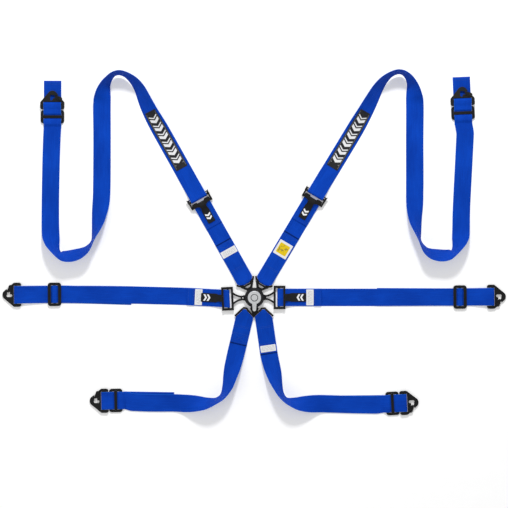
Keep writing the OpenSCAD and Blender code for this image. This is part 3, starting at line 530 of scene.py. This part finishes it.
def brushed(name, base, rough):
    """Turned aluminium: fine rings round the buckle's axis, a few long scratches and one plain dark ring."""
    s = Shader(name, Metallic=0.85, Specular_IOR_Level=0.5)
    pos = s.place()
    sep = s.node("SeparateXYZ")
    s.link(pos, sep.inputs[0])
    x, y = sep.outputs[0], s.math("ADD", sep.outputs[1], DROP * MM)
    r = s.math("SQRT", s.math("ADD", s.math("MULTIPLY", x, x), s.math("MULTIPLY", y, y)))
    comb = s.node("CombineXYZ")
    s.link(r, comb.inputs[0])
    ring = s.noise(comb.outputs[0], 3200, detail=2)
    scratch = s.noise(pos, 300, (1, 0.05, 1), 3, 0.7)
    cloud = s.noise(pos, 60, detail=3)
    tone = s.math("ADD", s.math("MULTIPLY", ring, 0.4), s.math("MULTIPLY", cloud, 0.6))
    dark = s.band(r, 0.0086, 0.0105, 0.0001)
    silver = s.mix(tone, tuple(c * 0.82 for c in base), tuple(min(1, c * 1.12) for c in base))
    s.color(s.mix(dark, silver, (0.016, 0.016, 0.018)))
    s.rough(s.ramp(s.math("ADD", s.math("MULTIPLY", ring, 0.5), s.math("MULTIPLY", scratch, 0.5)),
                   [(0.35, rough - 0.08), (0.65, rough + 0.12)]))
    bev = s.node("Bevel", samples=6)
    bev.inputs["Radius"].default_value = 0.0006
    s.link(bev.outputs[0], s.bsdf.inputs["Normal"])
    s.bump(ring, 0.00003, 0.5)
    return s.mat


def moulded(name, base):
    """Moulded black plastic with a fine grain."""
    s = Shader(name, Roughness=0.42, Specular_IOR_Level=0.3)
    pos = s.place()
    grain = s.noise(pos, 1500, detail=2)
    cloud = s.noise(pos, 45, detail=4)
    s.color(s.mix(cloud, tuple(c * 0.7 for c in base), tuple(c * 1.5 for c in base)))
    s.rough(s.ramp(cloud, [(0.3, 0.34), (0.7, 0.52)]))
    bev = s.node("Bevel", samples=6)
    bev.inputs["Radius"].default_value = 0.0008
    s.link(bev.outputs[0], s.bsdf.inputs["Normal"])
    s.bump(grain, 0.00008, 0.5)
    return s.mat


def tab_leather(name, mark):
    """Black grained tab with two printed chevrons and a line of stitches near its edges, in metres.
    mark = (middle of the chevrons, their half width, half width of the tab)."""
    s = Shader(name, Roughness=0.6, Specular_IOR_Level=0.18)
    vec, u, v = s.uv()
    grain = s.noise(vec, 1300, detail=3)
    cloud = s.noise(vec, 90, detail=3)
    black = s.mix(cloud, (0.004, 0.004, 0.0045), (0.015, 0.015, 0.016))
    au = s.math("ABSOLUTE", u)
    shape = None
    for k in (-0.5, 0.5):
        w = s.math("SUBTRACT", s.math("SUBTRACT", v, mark[0] + k * 0.0098), s.math("MULTIPLY", au, 0.6))
        bar = s.band(w, -0.0053, -0.0001, 0.0002)
        shape = bar if shape is None else s.math("MAXIMUM", shape, bar)
    shape = s.math("MULTIPLY", shape, s.band(au, -1, mark[1], 0.0002))
    ink = s.mix(grain, (0.78, 0.79, 0.8), (0.95, 0.95, 0.96))
    s.color(s.mix(shape, black, ink))
    stitch = s.math("MULTIPLY", s.band(au, mark[2] - 0.0022, mark[2] - 0.0014, 0.0002),
                    s.math("SINE", s.math("MULTIPLY", v, 2 * math.pi / 0.0026)))
    s.bump(s.math("ADD", grain, s.math("MULTIPLY", stitch, 0.8)), 0.00018, 0.8)
    s.rough(s.ramp(grain, [(0.3, 0.48), (0.7, 0.66)]))
    return s.mat


def patch_cloth(name):
    """Black woven patch with a plain row of white chevrons, thick and thin in turn."""
    s = Shader(name, Roughness=0.6, Specular_IOR_Level=0.25)
    vec, u, v = s.uv()
    wu = s.math("SINE", s.math("MULTIPLY", u, 2 * math.pi / 0.0009))
    wv = s.math("SINE", s.math("MULTIPLY", v, 2 * math.pi / 0.0009))
    weave = s.math("MULTIPLY", wu, wv)
    cloud = s.noise(vec, 60, detail=3)
    black = s.mix(cloud, (0.006, 0.006, 0.008), (0.022, 0.022, 0.026))
    au = s.math("ABSOLUTE", u)
    cell = s.math("FRACT", s.math("DIVIDE", s.math("ADD", v, s.math("MULTIPLY", au, -0.62)), 0.0262))
    thick = s.band(cell, 0.1, 0.44, 0.012)
    thin = s.band(cell, 0.6, 0.74, 0.012)
    ends = s.math("MULTIPLY", s.band(v, -0.079, 0.079, 0.0002), s.band(au, -1, 0.0128, 0.0002))
    shape = s.math("MULTIPLY", s.math("MAXIMUM", thick, thin), ends)
    frame_line = s.math("MULTIPLY", s.band(au, 0.0146, 0.0154, 0.0002), s.band(v, -0.0885, 0.0885, 0.0002))
    shape = s.math("MAXIMUM", shape, s.math("MULTIPLY", frame_line, 0.25))
    ink = s.mix(s.noise(vec, 900, detail=2), (0.72, 0.73, 0.75), (0.92, 0.92, 0.93))
    s.color(s.mix(shape, black, ink))
    s.bump(s.math("ADD", weave, s.math("MULTIPLY", shape, 0.7)), 0.00015, 0.7)
    return s.mat


def label_cloth(name, yellow=False, half_long=0.0098):
    """White woven label with rows of faint grey dashes, or a yellow field with blots."""
    s = Shader(name, Roughness=0.7, Specular_IOR_Level=0.25)
    vec, u, v = s.uv()
    weave = s.math("MULTIPLY", s.math("SINE", s.math("MULTIPLY", u, 2 * math.pi / 0.0006)),
                   s.math("SINE", s.math("MULTIPLY", v, 2 * math.pi / 0.0006)))
    cloud = s.noise(vec, 120, detail=3)
    white = s.mix(cloud, (0.72, 0.73, 0.74), (0.9, 0.9, 0.9))
    row = s.math("FRACT", s.math("DIVIDE", s.math("ADD", v, 0.1), 0.0032))
    rows = s.band(row, 0.3, 0.62, 0.05)
    word = s.ramp(s.noise(vec, 420, (1, 0.35, 1), 1), [(0.46, 0), (0.5, 1)])
    inside = s.math("MULTIPLY", s.band(s.math("ABSOLUTE", v), -1, half_long - 0.003, 0.0003),
                    s.band(s.math("ABSOLUTE", u), -1, 0.019, 0.0003))
    ink = s.math("MULTIPLY", s.math("MULTIPLY", rows, word), inside)
    col = s.mix(s.math("MULTIPLY", ink, 0.8), white, (0.22, 0.23, 0.26))
    if yellow:
        du = s.math("MAXIMUM", s.math("SUBTRACT", s.math("ABSOLUTE", u), 0.0125), 0.0)
        dv = s.math("MAXIMUM", s.math("SUBTRACT", s.math("ABSOLUTE", v), 0.0125), 0.0)
        d = s.math("SQRT", s.math("ADD", s.math("MULTIPLY", du, du), s.math("MULTIPLY", dv, dv)))
        field = s.band(d, -1, 0.003, 0.0003)
        warm = s.mix(cloud, (0.72, 0.5, 0.0), (0.84, 0.62, 0.01))
        blot = s.math("MULTIPLY", s.ramp(s.noise(vec, 130, detail=1), [(0.54, 0), (0.57, 1)]),
                      s.band(d, -1, 0.0002, 0.0003))
        warm = s.mix(s.math("MULTIPLY", blot, 0.75), warm, (0.1, 0.09, 0.06))
        col = s.mix(field, white, warm)
    s.color(col)
    s.bump(weave, 0.00012, 0.7)
    return s.mat


BLUE = webbing("webbing_blue", (0.002, 0.068, 0.56), (0.001, 0.039, 0.37), (0.02, 0.18, 0.72))
# painted shadow: a far darker copy of the webbing, standing in for the shade cast by the step where the seam's
# folded end lies on the strap
FOLD_PAINTED_SHADOW = webbing("webbing_fold_painted_shadow", (0.0014, 0.02, 0.16), (0.0008, 0.011, 0.1), (0.002, 0.03, 0.2))
THREAD = thread("thread_blue", (0.008, 0.075, 0.46))
THREAD_DARK = thread("thread_black", (0.02, 0.02, 0.022))
# the second colour of each steel is its edge colour: rubbed wear and painted highlight
BLACK_STEEL = steel("black_steel", (0.006, 0.006, 0.0065), (0.1, 0.1, 0.105), rough=0.4, metallic=0.15,
                    specular=0.24)
GATE = steel("gate_steel", (0.006, 0.006, 0.0065), (0.16, 0.16, 0.165), rough=0.34, metallic=0.2,
             bevel=0.0004, specular=0.24)
BAR = steel("knurled_steel", (0.009, 0.009, 0.01), (0.09, 0.09, 0.09), rough=0.4, metallic=0.3, wear_and_highlight_amount=0.8,
            bevel=0.0004, specular=0.2)
INNER = steel("plated_steel", (0.5, 0.5, 0.52), (0.75, 0.75, 0.75), rough=0.3, metallic=0.9, wear_and_highlight_amount=0.5,
              bevel=0.0004)
SPRING = steel("spring_wire", (0.4, 0.4, 0.42), (0.7, 0.7, 0.7), rough=0.3, metallic=0.9, wear_and_highlight_amount=0.4,
               bevel=0.0003)
LEVER = brushed("lever_aluminium", (0.74, 0.755, 0.77), 0.42)
HOUSING = moulded("housing_plastic", (0.006, 0.006, 0.0065))

for name, ob in nodes.items():
    if name in ("release_lever", "lever_cap"):
        mat = LEVER
    elif name == "buckle_housing":
        mat = HOUSING
    elif "spring" in name:
        mat = SPRING
    elif name.startswith("gate"):
        mat = GATE
    elif name.startswith(("adjuster_bar", "lap_lock_bar")):
        mat = BAR
    elif name.startswith(("latch", "lug_pin", "center_stud", "lift_cam")):
        mat = INNER
    else:
        mat = BLACK_STEEL
    ob.data.materials.clear()
    ob.data.materials.append(mat)


# ---- pieces that lie on a strap ----

def plate_on(name, path, start, end, half, thick, lift, mat, body, round_by, taper=None, centre=None):
    """A thin sewn-on piece between two lengths of a strap, with rounded corners and soft edges."""
    long = end - start
    parts = max(2, int(long / 3))
    rows = sorted(set([0, long] + [long * i / parts for i in range(parts)]
                      + [round_by * k for k in (0.15, 0.4, 0.7, 1.0)]
                      + [long - round_by * k for k in (0.15, 0.4, 0.7, 1.0)]))
    rows = [r for r in rows if 0 <= r <= long]
    verts, uvs, faces = [], [], []
    m = len(SECTION)
    mid = long / 2 if centre is None else centre
    for r in rows:
        e = min(r, long - r)
        h = half if taper is None else taper(r)
        if e < round_by:
            h -= round_by - math.sqrt(max(0, round_by ** 2 - (round_by - e) ** 2))
        p, a, u = path.at(start + r)
        sgn = 1 if u.z > 0 else -1
        soft = min(1, 0.45 + e)
        for top in (0, 1):
            row = list(zip(SECTION, THICK))
            for f, t in (row if not top else row[::-1]):
                k = thick / 2 * t * soft * (1 if top else -1)
                q = p + a * (h * f * sgn) + u * (sgn * (lift + thick / 2 + k))
                verts.append(to_world(q))
                uvs.append((h * f * MM, (r - mid) * MM))
    n = 2 * m
    for k in range(len(rows) - 1):
        for j in range(n):
            a, b = k * n + j, k * n + (j + 1) % n
            faces.append((a, b, b + n, a + n))
    faces.append(tuple(range(n))[::-1])
    faces.append(tuple(range((len(rows) - 1) * n, len(rows) * n)))
    ob = new_mesh(name, verts, faces, uvs)
    ob.data.materials.append(mat)
    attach(ob, body)
    return ob


def stitches(name, path, lines, body, mat, lift=0.72, dash=2.7, gap=1.3, width=0.42):
    """Rows of thread on a strap; each line runs between two [length, across] places."""
    verts, faces = [], []
    for (s0, u0), (s1, u1) in lines:
        total = math.hypot(s1 - s0, u1 - u0)
        count = max(1, int((total + gap) / (dash + gap)))
        pitch = total / count
        for i in range(count):
            t0, t1 = i * pitch / total, (i * pitch + pitch * dash / (dash + gap)) / total
            ends = []
            for t in (t0, t1):
                p, a, u = path.at(s0 + (s1 - s0) * t)
                sgn = 1 if u.z > 0 else -1
                ends.append((p + a * (u0 + (u1 - u0) * t) + u * (sgn * lift), u * sgn))
            axis = (ends[1][0] - ends[0][0]).normalized()
            out = ends[0][1]
            across = axis.cross(out).normalized()
            base = len(verts)
            for t, r in ((0, 0.45), (0.22, 1), (0.78, 1), (1, 0.45)):
                c = ends[0][0].lerp(ends[1][0], t) + out * (0.16 * math.sin(math.pi * t))
                for k in range(6):
                    an = math.pi * k / 3
                    verts.append(to_world(c + across * (width * r * math.cos(an))
                                          + out * (0.26 * r * math.sin(an))))
            for q in range(3):
                for k in range(6):
                    a, b = base + q * 6 + k, base + q * 6 + (k + 1) % 6
                    faces.append((a, b, b + 6, a + 6))
            faces.append(tuple(range(base + 5, base - 1, -1)))
            faces.append(tuple(range(base + 18, base + 24)))
    ob = new_mesh(name, verts, faces)
    ob.data.materials.append(mat)
    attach(ob, body)
    return ob


def box_stitch(s0, s1, half, cross=True):
    """The outline of a sewn box, and its cross if it has one."""
    lines = [((s0, -half), (s1, -half)), ((s1, -half), (s1, half)), ((s1, half), (s0, half)),
             ((s0, half), (s0, -half))]
    return lines + ([((s0, -half), (s1, half)), ((s1, -half), (s0, half))] if cross else [])


# ---- build the straps ----

def strap(name, stations, body, node):
    """Build one strap, which replaces its CAD node, and return its path."""
    path = Path(stations)
    ob = strap_mesh(name, path)
    ob.data.materials.append(BLUE)
    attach(ob, body)
    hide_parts(node)
    return path


def on_yaw(path, yaw, r, x=0, y=0):
    """Length along the strap, r mm out from (x, y) in the direction yaw."""
    return path.nearest(x + r * cosd(yaw), y + r * sind(yaw))


TAB_MARK = {"lap": tab_leather("tab_black_lap", (0.0, 0.0092, 0.0125)),
            "adjuster": tab_leather("tab_black_adjuster", (0.0, 0.0078, 0.011))}
PATCH = patch_cloth("patch_black")
LABEL = label_cloth("label_white")
LABEL_YELLOW = label_cloth("label_yellow", True)

for side in ("left", "right"):
    yaw, at, seam = YAW[side], ADJUSTER[side], SEAM[side]

    # lower shoulder strap
    body = "lower_strap_" + side
    path = strap("lower_webbing_" + side, lower_strap(side), body, "shoulder_lower_" + side)
    a, b = on_yaw(path, yaw, TONGUE_BAR + 44), on_yaw(path, yaw, seam)
    rows = box_stitch(b - 34, b - 5, 20) + [((a, -20), (a, 20)), ((a + 4, -20), (a + 4, 20))]
    far = path.len[-1]
    rows += box_stitch(far - 34, far - 5, 20)
    stitches("lower_stitching_" + side, path, rows, body, THREAD)
    # raised fold at the seam, coloured with the painted shadow of its step
    plate_on("lower_fold_painted_shadow_" + side, path, b - 1.3, b + 1.1, 24.9, 1.5, 0.7, FOLD_PAINTED_SHADOW, body, 0.6)
    if side == "left":
        m = on_yaw(path, yaw, 148)
        plate_on("label_shoulder_left", path, m - 9.8, m + 9.8, 23.4, 0.45, 0.75, LABEL, body,
                 1.2)
    else:
        m = on_yaw(path, yaw, 159.6)
        plate_on("label_shoulder_right", path, m - 22, m + 22, 20.9, 0.45, 0.75, LABEL_YELLOW, body,
                 1.5)

    # upper shoulder strap
    body = "upper_strap_" + side
    path = strap("shoulder_webbing_" + side, shoulder_strap(side), body, "shoulder_strap_" + side)
    first = Vector(ROUTE["shoulder_" + side][0][:2])
    s0 = path.nearest(first.x, first.y)
    patch = plate_on("patch_" + side, path, s0, s0 + 187, 18, 0.8, 0.85, PATCH, body, 2.5)
    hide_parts("shoulder_patch_" + side)
    rows = box_stitch(s0 + 1.6, s0 + 185.4, 16.6, False)
    stitches("patch_stitching_" + side, path, rows, body, THREAD_DARK, lift=1.72, dash=2.2, gap=1.0,
             width=0.3)
    end = path.len[-1]
    rows = [((end - inset, -21), (end - inset, 21)) for inset in (6, 10)]
    stitches("tail_stitching_" + side, path, rows, body, THREAD)

    # crotch strap
    body = "crotch_strap_" + side
    seam = 96 if side == "left" else 122
    stations = crotch_strap(side, seam, END_CROTCH_L if side == "left" else END_CROTCH_R)
    path = strap("crotch_webbing_" + side, stations, body, "crotch_strap_" + side)
    cx, cy, cyaw = CROTCH[side]
    b = on_yaw(path, cyaw, seam, cx, cy)
    a = on_yaw(path, cyaw, 44, cx, cy)
    rows = box_stitch(b - 30, b - 5, 20) + [((a, -20), (a, 20)), ((a + 4, -20), (a + 4, 20))]
    stitches("crotch_stitching_" + side, path, rows, body, THREAD)
    # raised fold at the seam, coloured with the painted shadow of its step
    plate_on("crotch_fold_painted_shadow_" + side, path, b - 1.3, b + 1.1, 24.9, 1.5, 0.7, FOLD_PAINTED_SHADOW, body, 0.6)
    if side == "right":
        m = on_yaw(path, cyaw, 108, cx, cy)
        plate_on("label_crotch_right", path, m - 9.5, m + 9.5, 22, 0.45, 0.75, LABEL, body, 1.2)

    # lap strap
    body = "buckle" if side == "left" else "tongue_lap_right"
    tail = 118 if side == "left" else 122
    path = strap("lap_webbing_" + side, lap_strap(side, tail), body, "lap_strap_" + side)
    rows = [((along, -21), (along, 21)) for along in (4, 17, 20)]
    stitches("lap_stitching_" + side, path, rows, body, THREAD, lift=2.2)
    plate_on("lap_hem_" + side, path, 0.4, 21, 25.1, 1.3, 0.75, BLUE, body, 1.0)
    plate_on("label_lap_" + side, path, 22.5, 43.5, 22.8, 0.45, 0.75, LABEL, body, 1.2)

    # pull tab of the lap strap
    bx, by, byaw, skew = LAP_BAR[side]
    profile = [(17, 13.9), (19.6, 13.6), (22.4, 11.6), (26, 8.4), (31, 6.6), (40, 4.9), (52, 4.4), (78, 4.4)]
    line = Path(upright(profile, bx, by, byaw), 1.0, 3)
    long = line.len[-1]
    tab = plate_on("lap_tab_" + side, line, 0, long, 12.5, 2.0, -1.0, TAB_MARK["lap"], body, 2.5,
                   taper=lambda r: 10.2 + 2.3 * min(1, max(0, (r - 14) / 6)), centre=long - 17)
    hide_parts("lap_pull_tab_" + side)

    # pull tab of the adjuster
    body = "adjuster_lever_" + side
    profile = [(at - 74, 4.3), (at - 47, 4.35), (at - 39, 5), (at - 31, 7.4), (at - 26, 10.9),
               (at - 22.5, 14.1), (at - 18, 14.6), (at - 9, 14.6)]
    line = Path(upright(profile, 0, 0, yaw), 1.0, 3)
    long = line.len[-1]
    tab = plate_on("adjuster_pull_" + side, line, 0, long, 11, 1.8, -0.9, TAB_MARK["adjuster"], body,
                   2.0, taper=lambda r, n=long: 11 - 1.6 * min(1, max(0, (r - 38) / 8)), centre=20)
    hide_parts("adjuster_tab_" + side)

# ---- floor and light ----

def quad(name, half, z):
    corners = [(-half, -half, z), (half, -half, z), (half, half, z), (-half, half, z)]
    return new_mesh(name, corners, [(0, 1, 2, 3)], smooth_shade=False)


floor = quad("floor", 6, 0)
paper = Shader("floor_paper", Roughness=0.9, Specular_IOR_Level=0.1, Emission_Strength=0.2,
               Emission_Color=(1, 1, 1, 1))
fine = paper.noise(paper.place(), 30, detail=3)
paper.color(paper.mix(fine, (0.89, 0.89, 0.89), (0.92, 0.92, 0.92)))
floor.data.materials.append(paper.mat)

world = bpy.data.worlds.new("studio")
world.use_nodes = True
world.node_tree.nodes["Background"].inputs[0].default_value = (1, 1, 1, 1)
world.node_tree.nodes["Background"].inputs[1].default_value = 0.55
scene.world = world


def area(name, place, aim, size, power):
    light = bpy.data.lights.new(name, "AREA")
    light.size = size
    light.energy = power
    ob = bpy.data.objects.new(name, light)
    ob.location = place
    ob.rotation_mode = "QUATERNION"
    ob.rotation_quaternion = (Vector(aim) - Vector(place)).to_track_quat("-Z", "Y")
    scene.collection.objects.link(ob)


area("key", (0.15, 2.6, 2.5), (0, -0.1, 0), 0.5, 84)
area("fill", (-2.2, -1.2, 2.2), (0, 0, 0), 1.6, 10)
